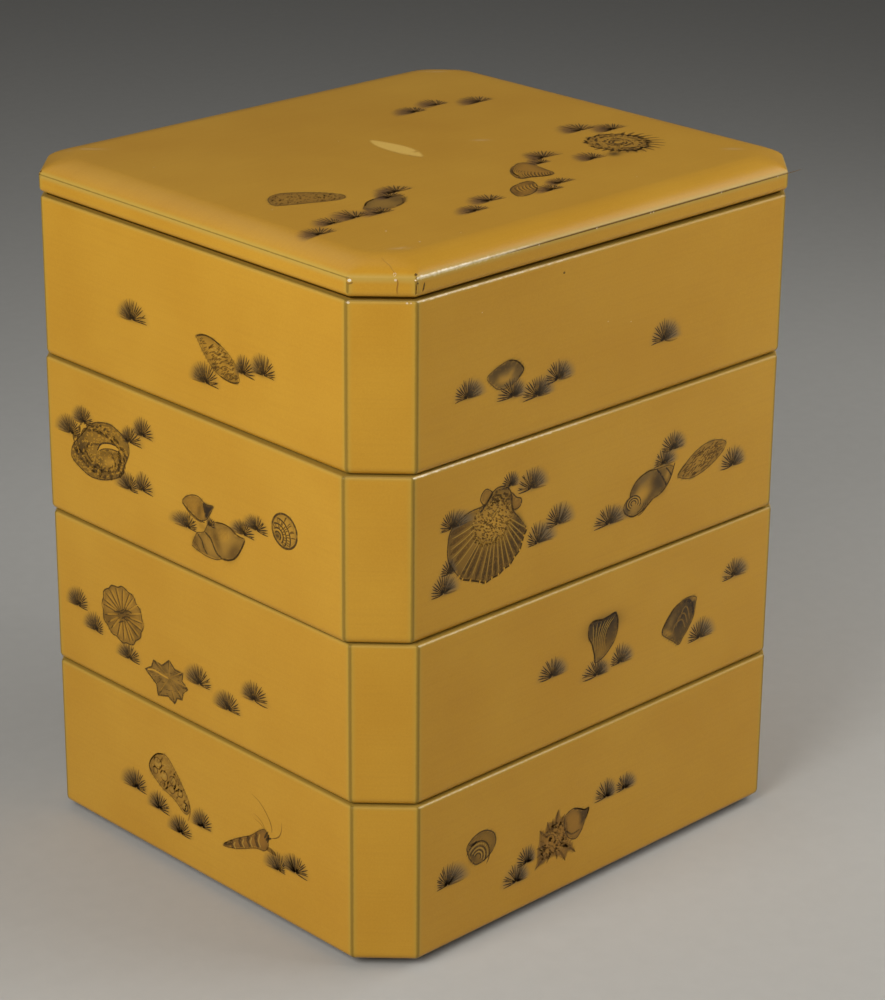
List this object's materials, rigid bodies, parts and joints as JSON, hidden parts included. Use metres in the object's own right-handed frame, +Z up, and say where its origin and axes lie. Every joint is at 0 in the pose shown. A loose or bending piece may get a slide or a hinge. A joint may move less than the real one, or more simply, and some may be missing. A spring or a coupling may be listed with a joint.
{
  "type": "jubako",
  "caption": "Stacking food box of ochre lacquered wood with cut corners, nesting open tiers and a lift-off lid, painted with sparse shells and pine sprigs.",
  "frame": {"origin": "on the table, under the middle of the bottom tier's foot", "axes": "+Z up the stack; the long faces look along Y and the short faces along X"},
  "size_m": [0.2422, 0.2202, 0.2878],
  "materials": {
    "ochre_lacquer": "satin ochre lacquer over wood, dark lines along the arrises",
    "painted_ink": "thin brown-black lacquer painting"
  },
  "bodies": {
    "root": {"lid": "ochre_lacquer", "top_tier": "ochre_lacquer", "second_tier": "ochre_lacquer", "third_tier": "ochre_lacquer", "bottom_tier": "ochre_lacquer"}
  },
  "joints": []
}
